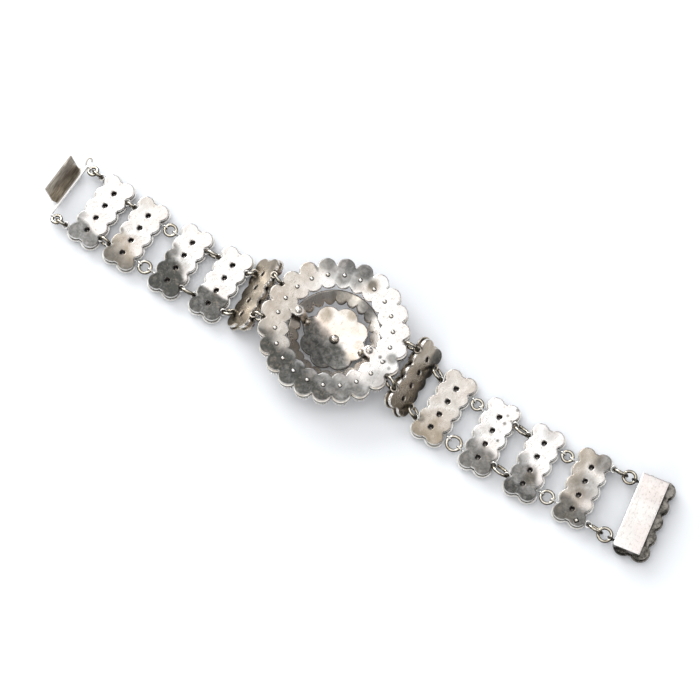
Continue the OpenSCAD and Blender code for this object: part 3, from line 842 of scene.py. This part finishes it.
def add_sheet(name, domain, top, bottom, tan, smoke_and_dark_reflection, seed, material, place, worn=0.0):
    """A covering sheet with walls down to the bottom heights, with its tarnish and painted dark
    reflection painted on.
    """
    points, faces, depth = domain
    solid, faces = with_walls(np.column_stack([points, top]), faces, bottom)
    mesh = new_mesh(name, solid, faces)
    left = left_at_edge(depth, len(solid), worn)
    paint(mesh, "tan", left * tarnish_and_dark_reflection(solid[:, :2], tan, seed + 1))
    paint(mesh, "smoke_and_dark_reflection", left * tarnish_and_dark_reflection(solid[:, :2], smoke_and_dark_reflection, seed + 2))
    add_piece(mesh, material, placed(place))


# Links

LOBES = [
    (side * LOBE_ROW, i * LOBE_PITCH + LOBE_SHIFT) for side in (-1, 1) for i in range(-2, 3)
]
HOLES = [(0.0, (i - 1.5) * LOBE_PITCH) for i in range(4)]

# The sheet's holes: the CAD hole's radius in mm, and the share of it that the sheet covers
HOLE_R, HOLE_CLOSED = 0.7, 0.05

# How far from round they may be, as shares of the radius, and the largest turn in radians
HOLE_OVAL, HOLE_THREE_SIDED, ANY_TURN = 0.06, 0.03, 6.3

# How much a link's back also bends across its width, as a share of its bend from end to end
CROSS_BEND = 0.25

# Beads in mm: radius, spacing, how far inside the tray's edge and below it they lie
BEAD_R, BEAD_STEP = 0.17, 0.46
LINK_BEAD_IN, MEDAL_BEAD_IN, BEAD_DROP = 0.12, 0.1, 0.08

# The greatest depth inside the outline, in mm, at which a bead is still on its edge
ON_EDGE = 0.03

# Where a link's beads leave room for the jump rings: x, y and radius in mm
RING_CUT_X, RING_CUT_Y, RING_CUT_R = 5.2, 6.0, 1.6

# The smallest stones: radii and depths in mm, and the turn from one to the next in degrees
SMALL_STONE = {"girdle_r": 0.62, "table_r": 0.36, "culet": 0.7, "girdle": 1.62, "table": 2.1}
STONE_TURN = 11.0

# The pin end on the last link: place, half diagonal, the heights of its foot and top, their scale
PIN_X, PIN_Y, PIN_HALF = 2.2, -8.55, 0.66
PIN_LEVELS = ((0.36, 1.5), (0.92, 0.6))


def scallop_depth(points, r):
    """Depth inside a link's outline with lobes of radius r."""
    middle = points - [0, LOBE_SHIFT]
    webs = np.maximum(
        bar_depth(middle, LOBE_ROW + r - SIDE_NOTCH, 2 * LOBE_PITCH),
        bar_depth(middle, LOBE_ROW, 2 * LOBE_PITCH + r - END_NOTCH),
    )
    return np.maximum(disc_depth(points, LOBES, r), webs)


def link_depth(points, seed):
    """Depth inside a link's sheet, with its four uneven holes."""
    rng = random.Random(seed)
    depth = scallop_depth(points, LOBE_R + COVER_GAP)
    for x, y in HOLES:
        dx, dy = points[:, 0] - x, points[:, 1] - y
        angle = np.arctan2(dy, dx)
        out = rng.uniform(0.0, HOLE_OVAL) * np.cos(2 * angle + rng.uniform(0, ANY_TURN))
        out += rng.uniform(0.0, HOLE_THREE_SIDED) * np.cos(3 * angle + rng.uniform(0, ANY_TURN))
        depth = np.minimum(depth, np.hypot(dx, dy) - HOLE_R * (1 - HOLE_CLOSED + out))
    return depth


def back_sheet(name):
    """The uneven, softly edged silver sheet on a link's back."""
    seed = sum(map(ord, name))
    wear = WEAR_AND_DARK_REFLECTION[name]
    half = 2 * LOBE_PITCH + LOBE_R + LOBE_SHIFT
    reach = LOBE_ROW + LOBE_R
    domain = flat_domain(lambda p: link_depth(p, seed), (-reach, -half), (reach, half), LINK_STEP)
    points, _, depth = domain
    bend = (points[:, 1] / half) ** 2 + CROSS_BEND * (points[:, 0] / LOBE_R) ** 2
    base = COVER_GAP + ROUND_R + wear["bend"] * bend
    top = base + uneven(points, seed, LINK_WAVES) - rounded(depth)
    add_sheet("back_sheet_" + name, domain, top, COVER_GAP - SHEET, wear["tan"], wear["smoke_and_dark_reflection"],
              seed, SILVER_SHEET, name, WORN)


def repair_pin():
    """The small square end of a repair pin on the last link's back."""
    corners = ((1, 0), (0, 1), (-1, 0), (0, -1))
    points = [
        (PIN_X + u * PIN_HALF * scale, PIN_Y + v * PIN_HALF * scale, z)
        for z, scale in PIN_LEVELS
        for u, v in corners
    ]
    faces = [(4, 5, 6, 7)] + [(n, (n + 1) % 4, 4 + (n + 1) % 4, 4 + n) for n in range(4)]
    mesh = new_mesh("repair_post", points, faces, smooth=False)
    add_piece(mesh, RIVET_SILVER, placed("r5"))


def bead_row(outline, centres, r, keep_out):
    """Round beads along the outer edge of an outline of lobes of radius r."""
    parts = Parts()
    turns = int(2 * math.pi * r / BEAD_STEP)
    angles = np.arange(turns) * 2 * math.pi / turns
    for x, y in centres:
        spots = np.stack([x + r * np.cos(angles), y + r * np.sin(angles)], -1)
        for u, v in spots[outline(spots) < ON_EDGE]:
            if all(math.hypot(u - a, v - b) > far for a, b, far in keep_out):
                parts.add(*ball((u, v, TRAY_BOTTOM - BEAD_DROP), BEAD_R))
    return parts


def tray_beads(name):
    """The row of small beads soldered round the edge of a link's tray, on its front."""
    edge_r = LOBE_R + TRAY_LIP - LINK_BEAD_IN
    cuts = [
        (side * RING_CUT_X, end * RING_CUT_Y, RING_CUT_R) for side in (-1, 1) for end in (-1, 1)
    ]
    parts = bead_row(lambda p: scallop_depth(p, edge_r), LOBES, edge_r, cuts)
    add_piece(parts.mesh("tray_beads_" + name), BEAD_SILVER, placed(name))


def small_stones(name):
    """The four smallest stones of a link, in the tubes on its middle line."""
    parts = Parts()
    for k, (x, y) in enumerate(HOLES):
        points, faces = gem((x, y, 0), **SMALL_STONE, turn=STONE_TURN * k)
        parts.add(points, faces)
    mesh = parts.mesh("small_stones_" + name, smooth=False)
    # The point of each stone gets the painted pale centre, as painted light
    pale_point = np.zeros(len(points))
    pale_point[-1] = 1
    paint(mesh, "pale_point", np.tile(pale_point, len(HOLES)))
    add_piece(mesh, PALE_POINT_GARNET, placed(name))


# Medallion

OUTER_LOBES = around(PETALS, OUTER_AT, FIRST_PETAL)
INNER_LOBES = around(PETALS, INNER_AT, FIRST_PETAL)
MID_LOBES = around(PETALS, MID_AT, FIRST_PETAL)

# Half the length of a tab's neck, and how far past the tab its middle lies, in mm
NECK = 1.0

# The back's cone: rise per mm of radius and where it begins
CONE_RISE, CONE_FROM = 0.045, 11.5

# The petals that are bent up: middle, half width and fade in degrees, start and fade in radius
BENT_AT, BENT_HALF, BENT_FADE = 111.0, 27, 4
BEND_FROM, BEND_FADE = 14.6, 1.6

# How far they are bent up in mm, how much more along a petal's middle, and the fall per mm
BENT_UP, BENT_RIDGE, BENT_FALL = 0.26, 0.12, 0.07

# The outer sheet is a little smaller than its plate and lies to one side, so that a rim shows
SHEET_SMALLER, SHEET_SHIFT = 0.08, (-0.15, 0.26)

# The sheet stays clear of these jump rings by this much, tested at these heights, in mm
MEDAL_RINGS = ("ring_6a", "ring_6b", "ring_7a", "ring_7b")
RING_CLEARANCE = 0.14
RING_LEVELS = (0.35, 0.1, -0.2, -0.45)

# Where points are tested, how far a ring is looked for, and the depth where none is, in mm
NEAR_RINGS_X, NEAR_RINGS_Y, NEAR_RINGS_DEPTH = 14, 6, -0.6
SEARCH_REACH, NO_RING = 2, 9.0

# The rivets' heads: height as a share of their radius, and how deep they sit in mm
RIVET_SQUASH, RIVET_SUNK = 0.7, 0.06

# The beaded collar round the mouth of each outer setting: radius, height, bead radius, beads
COLLAR_R, COLLAR_Z, COLLAR_BEAD_R, COLLAR_BEADS = 2.12, -3.0, 0.26, 20

# Where the beads leave room for the jump rings: petals from the first, distance, radius, reach
EYE_PETALS = (9.5, 11.5, 0.5, -1.5)
EYE_AT, EYE_ROOM, EYE_NEAR = 18.2, 1.7, 3.2

# The middle ring's cone in mm: its rim and a lower place on it, as radius and height
MID_RIM, MID_RIM_Z, MID_LOW, MID_LOW_Z = 12.0, -2.6, 9.1, -5.2

# Its sheet in mm: outer edge, band inside the lobes' middles, mesh reach, lift, cushions, wall
MID_OUT, MID_WEB, MID_REACH = 11.9, 0.3, 12.4
MID_LIFT, MID_CUSHION, MID_WALL = 0.04, 0.04, 0.4

# The cup's sheet in mm: hole for its knob, lift, cushions, wall
KNOB_HOLE = 1.05
CUP_LIFT, CUP_CUSHION, CUP_WALL = 0.03, 0.06, 0.42

# The distance from the centre at which its cushions begin, and their fade, in mm
CUP_CUSHION_FROM, CUP_CUSHION_FADE = 3.5, 3


def ring_surfaces():
    """The closed surfaces of the jump rings at the medallion, to keep clear of them."""
    trees = []
    for name in MEDAL_RINGS:
        mesh = nodes[name].data
        points = [v.co.copy() for v in mesh.vertices]
        trees.append(BVHTree.FromPolygons(points, [tuple(p.vertices) for p in mesh.polygons]))
    return trees


def room_depth(points, matrix, trees):
    """Depth that is negative where a sheet would meet a ring."""
    depth = np.full(len(points), NO_RING)
    for n, (x, y) in enumerate(points):
        for z in RING_LEVELS:
            spot = matrix @ (Vector((x, y, z)) * MM)
            for tree in trees:
                found = tree.find_nearest(spot, SEARCH_REACH * MM)
                if found[3] is not None:
                    depth[n] = min(depth[n], found[3] / MM - RING_CLEARANCE)
    return depth


def medal_outline(points, outer_r, shift=(0, 0)):
    """Depth inside the medallion's back plate, with outer lobes of that radius and place."""
    r = np.hypot(points[:, 0], points[:, 1])
    depth = np.minimum(OUTER_WEB_R - r, r - INNER_AT)
    depth = np.maximum(depth, disc_depth(points, np.add(OUTER_LOBES, shift), outer_r))
    depth = np.maximum(depth, disc_depth(points, INNER_LOBES, INNER_R + COVER_GAP))
    for side in (-1, 1):
        tab_r = TAB_R + COVER_GAP
        depth = np.maximum(depth, disc_depth(points, [(side * TAB_AT, 0)], tab_r))
        neck = bar_depth(points - [side * (TAB_AT + NECK), 0], NECK, tab_r)
        depth = np.maximum(depth, neck)
    return depth


def medal_height(points):
    """Height of the medallion's back: a shallow cone, with a few petals bent up."""
    r = np.hypot(points[:, 0], points[:, 1])
    angle = np.degrees(np.arctan2(points[:, 1], points[:, 0]))
    cone = CONE_RISE * np.clip(r - CONE_FROM, 0, None)
    away = np.abs((angle - BENT_AT + 180) % 360 - 180)
    bent = smooth_step((BENT_HALF - away) / BENT_FADE) * smooth_step((r - BEND_FROM) / BEND_FADE)
    petal = (angle - FIRST_PETAL) / PETAL_STEP
    ridge = 1 - 2 * np.abs(petal - np.round(petal))
    raised = BENT_UP + BENT_RIDGE * ridge - BENT_FALL * (r - RIVET_AT)
    height = cone * (1 - bent) + bent * raised
    return COVER_GAP + height + uneven(points, MEDAL_SEED, MEDAL_WAVES) + ROUND_R


def medal_sheet():
    """The sheet on the medallion's back, cut clear of its jump rings."""
    matrix = placed("medal")
    trees = ring_surfaces()

    def depth_of(points):
        depth = medal_outline(points, OUTER_R - SHEET_SMALLER, SHEET_SHIFT)
        x, y = np.abs(points).T
        near = (y < NEAR_RINGS_Y) & (x > NEAR_RINGS_X) & (depth > NEAR_RINGS_DEPTH)
        depth[near] = np.minimum(depth[near], room_depth(points[near], matrix, trees))
        return depth

    reach = OUTER_AT + OUTER_R + MEDAL_SPARE
    domain = flat_domain(depth_of, (-reach, -reach), (reach, reach), MEDAL_STEP)
    top = medal_height(domain[0]) - rounded(domain[2])
    add_sheet("back_sheet_medallion", domain, top, COVER_GAP - SHEET, MEDAL_TAN, MEDAL_SMOKE_AND_DARK_REFLECTION,
              MEDAL_SEED, SILVER_SHEET, "medal", WORN)


def medal_rivets():
    """The domed heads of the rivets, one on each petal."""
    spots = np.array(around(PETALS, RIVET_AT, FIRST_PETAL))
    parts = Parts()
    for (x, y), z in zip(spots, medal_height(spots)):
        parts.add(*ball((x, y, z - RIVET_SUNK), RIVET_R, rings=8, sides=14, squash=RIVET_SQUASH))
    add_piece(parts.mesh("rivet_heads"), RIVET_SILVER, placed("medal"))


def medal_beads():
    """The beads round the edge of the medallion's tray and round its outer settings."""
    edge_r = OUTER_R - MEDAL_BEAD_IN
    eyes = [math.radians(FIRST_PETAL + k * PETAL_STEP) for k in EYE_PETALS]
    rooms = [(EYE_AT * math.cos(a), EYE_AT * math.sin(a), EYE_ROOM) for a in eyes]
    parts = bead_row(lambda p: medal_outline(p, edge_r), OUTER_LOBES, edge_r, rooms)
    for x, y in OUTER_LOBES:
        near = [room for room in rooms if math.hypot(x - room[0], y - room[1]) < EYE_NEAR]
        for u, v in around(COLLAR_BEADS, COLLAR_R):
            if all(math.hypot(x + u - a, y + v - b) > far for a, b, far in near):
                parts.add(*ball((x + u, y + v, COLLAR_Z), COLLAR_BEAD_R, sides=7))
    add_piece(parts.mesh("tray_beads_medallion"), BEAD_SILVER, placed("medal"))


def middle_sheet():
    """The sheet on the sloping middle ring, with a cushion for each of its lobes."""
    slope = (MID_RIM_Z - MID_LOW_Z) / (MID_RIM - MID_LOW)

    def depth_of(points):
        r = np.hypot(points[:, 0], points[:, 1])
        lobes = disc_depth(points, MID_LOBES, MID_LOBE_R + COVER_GAP)
        return np.minimum(np.maximum(r - (MID_AT - MID_WEB), lobes), MID_OUT - r)

    corner = (MID_REACH, MID_REACH)
    domain = flat_domain(depth_of, (-MID_REACH, -MID_REACH), corner, MID_STEP)
    points, _, depth = domain
    cone = MID_LOW_Z + slope * (np.hypot(points[:, 0], points[:, 1]) - MID_LOW)
    base = cone + MID_LIFT + MID_CUSHION * cushions(points, MID_LOBES, MID_LOBE_R) + ROUND_R
    top = base + uneven(points, MID_SEED, MID_WAVES) - rounded(depth)
    add_sheet("back_sheet_middle_ring", domain, top, cone - MID_WALL, MID_TAN, MID_SMOKE_AND_SHADE,
              MID_SEED, CUP_SILVER, "medal")


def cup_sheet():
    """The dished sheet of the centre cup, with a cushion for each of its lobes."""
    lobes = around(CUP_LOBES, CUP_AT)
    rim = CUP_AT + CUP_R
    dish_r = (rim * rim + CUP_DISH * CUP_DISH) / (2 * CUP_DISH)

    def depth_of(points):
        r = np.hypot(points[:, 0], points[:, 1])
        outline = np.maximum(CUP_AT - r, disc_depth(points, lobes, CUP_R + COVER_GAP))
        return np.minimum(outline, r - KNOB_HOLE)

    reach = rim + CUP_SPARE
    domain = flat_domain(depth_of, (-reach, -reach), (reach, reach), CUP_STEP)
    points, _, depth = domain
    r = np.hypot(points[:, 0], points[:, 1])
    dish = -CUP_DROP - CUP_DISH + dish_r - np.sqrt(dish_r**2 - r**2)
    swell = cushions(points, lobes, CUP_R) * smooth_step((r - CUP_CUSHION_FROM) / CUP_CUSHION_FADE)
    base = dish + CUP_LIFT + CUP_CUSHION * swell + ROUND_R
    top = base + uneven(points, CUP_SEED, CUP_WAVES) - rounded(depth)
    add_sheet("back_sheet_cup", domain, top, dish - CUP_WALL, CUP_TAN, CUP_DARK_REFLECTION,
              CUP_SEED, CUP_SILVER, "medal")


# Clasp

BOX_WALL = 0.36

# The thin open loop at the upper end of the tongue's bar, in mm
SPARE_LOOP = ((-86.3, 7.3, 2.1), (-86.8, 8.0, 2.3), (-87.05, 8.8, 2.3), (-86.8, 9.55, 2.2),
              (-86.15, 9.7, 2.1), (-85.75, 9.1, 2.0))
LOOP_WIRE, LOOP_SIDES, LOOP_STEPS = 0.16, 8, 8


def box_sheet():
    """The softly edged cover of the clasp box."""
    x, y = BOX_W / 2, BOX_L / 2

    def depth_of(points):
        return bar_depth(points, x + COVER_GAP, y + COVER_GAP)

    domain = flat_domain(depth_of, (-x, -y), (x, y), BOX_STEP)
    points, _, depth = domain
    base = BOX_H + COVER_GAP + ROUND_R
    top = base + uneven(points, BOX_SEED, BOX_WAVES) - rounded(depth)
    add_sheet("box_cover", domain, top, BOX_H - BOX_WALL, BOX_TAN, (),
              BOX_SEED, BOX_SILVER, "box")


def spare_loop():
    points, faces = wire(smooth_path(SPARE_LOOP, LOOP_STEPS), LOOP_WIRE, LOOP_SIDES)
    add_piece(new_mesh("spare_loop", points, faces), GILT, Matrix.Identity(4))


# Stage

CAMERA_AT = Vector((165.21, -275.06, 929.72)) * MM
LOOKS_AT = Vector((-1.43, -0.56, 2.9)) * MM
CAMERA_LENS, CAMERA_SENSOR = 197.6, 36
CAMERA_NEAR, CAMERA_FAR = 0.01, 10
IMAGE_RIGHT = Vector((0.855, 0.519, 0.0))

# The floor's half width in mm
FLOOR_HALF = 1500.0

# The room: how bright it is from the horizon up, as height of direction, radiance and colour
ROOM = (
    (0.0, 0.10, (0.80, 0.86, 1.0)),
    (0.30, 0.14, (0.84, 0.88, 1.0)),
    (0.62, 0.50, (0.92, 0.95, 1.0)),
    (0.90, 0.42, (0.96, 0.97, 1.0)),
    (1.0, 0.40, (0.97, 0.97, 1.0)),
)

# Soft lights: direction from the bracelet, distance, width and height in m, radiance, colour
Softbox = namedtuple("Softbox", "toward distance width height radiance colour")
SOFTBOXES = {
    "back_softbox": Softbox((-1.0, 0.55, 0.62), 1.6, 1.4, 0.9, 5.2, (0.98, 0.99, 1.0)),
    "right_softbox": Softbox((1.0, 0.55, 0.75), 1.6, 0.9, 0.7, 1.9, (1.0, 0.97, 0.93)),
    "front_softbox": Softbox((-0.1, -1.0, 0.45), 1.7, 1.3, 0.7, 3.0, (1.0, 0.985, 0.95)),
    "left_softbox": Softbox((-1.0, -0.38, 0.2), 1.6, 1.3, 0.56, 2.8, (1.0, 0.985, 0.96)),
}
OVERHEAD = Softbox((0, 0, 1), 1.3, 1.8, 1.35, 1.04, (1.0, 0.985, 0.96))

# Where flat backs mirror the overhead light, per m of height, and how far past it the light goes
MIRRORED, PAST_MIRRORED = (-0.18, 0.296), 0.12

# The overhead light's own x and y directions
OVERHEAD_ACROSS, OVERHEAD_AWAY = (0.97, -0.24), (0.24, 0.97)


def add_camera():
    toward = (CAMERA_AT - LOOKS_AT).normalized()
    data = bpy.data.cameras.new("camera")
    data.lens, data.sensor_width = CAMERA_LENS, CAMERA_SENSOR
    data.clip_start, data.clip_end = CAMERA_NEAR, CAMERA_FAR
    camera = new_object("camera", data)
    right = (IMAGE_RIGHT - toward * IMAGE_RIGHT.dot(toward)).normalized()
    turn = Matrix((right, toward.cross(right), toward)).transposed().to_4x4()
    camera.matrix_world = Matrix.Translation(CAMERA_AT) @ turn
    bpy.context.scene.camera = camera


def add_softbox(name, box):
    """A soft rectangular light, seen in that direction from the bracelet."""
    toward = Vector(box.toward).normalized()
    data = bpy.data.lights.new(name, "AREA")
    data.shape, data.size, data.size_y = "RECTANGLE", box.width, box.height
    data.energy = box.radiance * math.pi * box.width * box.height
    data.color = box.colour
    light = new_object(name, data)
    light.location = toward * box.distance
    light.rotation_mode = "QUATERNION"
    light.rotation_quaternion = toward.to_track_quat("Z", "Y")
    light.visible_camera = False
    return light


def add_overhead():
    """The light above, turned and moved so that its edge lies where flat backs mirror it."""
    light = add_softbox("overhead_softbox", OVERHEAD)
    light.rotation_quaternion = Matrix(
        [(OVERHEAD_ACROSS[k], OVERHEAD_AWAY[k], 0) for k in (0, 1)] + [(0, 0, 1)]
    ).to_quaternion()
    edge = [MIRRORED[k] + OVERHEAD_AWAY[k] * PAST_MIRRORED for k in (0, 1)]
    light.location = (
        *[edge[k] * OVERHEAD.distance - OVERHEAD_AWAY[k] * OVERHEAD.height / 2 for k in (0, 1)],
        OVERHEAD.distance,
    )


def add_world():
    """A soft grey room that is dark near the horizon."""
    world = bpy.data.worlds.new("room")
    bpy.context.scene.world = world
    world.use_nodes = True
    tree = world.node_tree
    place = tree.nodes.new("ShaderNodeTexCoord")
    parts = tree.nodes.new("ShaderNodeSeparateXYZ")
    ramp = tree.nodes.new("ShaderNodeValToRGB")
    ramp.color_ramp.interpolation = "EASE"
    stops = ramp.color_ramp.elements
    for height, _, _ in ROOM[1:-1]:
        stops.new(height)
    for stop, (_, radiance, tint) in zip(stops, ROOM):
        stop.color = (*[radiance * part for part in tint], 1)
    tree.links.new(place.outputs["Generated"], parts.inputs[0])
    tree.links.new(parts.outputs["Z"], ramp.inputs["Fac"])
    tree.links.new(ramp.outputs["Color"], tree.nodes["Background"].inputs["Color"])


def add_floor():
    h = FLOOR_HALF
    mesh = new_mesh("floor", [(-h, -h, 0), (h, -h, 0), (h, h, 0), (-h, h, 0)], [(0, 1, 2, 3)])
    mesh.materials.append(floor_paint())
    floor = new_object("floor", mesh)


finish_cad_nodes()
for link_name in WEAR_AND_DARK_REFLECTION:
    back_sheet(link_name)
    small_stones(link_name)
    tray_beads(link_name)
repair_pin()
medal_sheet()
medal_rivets()
medal_beads()
middle_sheet()
cup_sheet()
box_sheet()
spare_loop()
add_camera()
add_world()
add_overhead()
for softbox in SOFTBOXES.items():
    add_softbox(*softbox)
add_floor()
bpy.context.scene.view_settings.view_transform = "Standard"
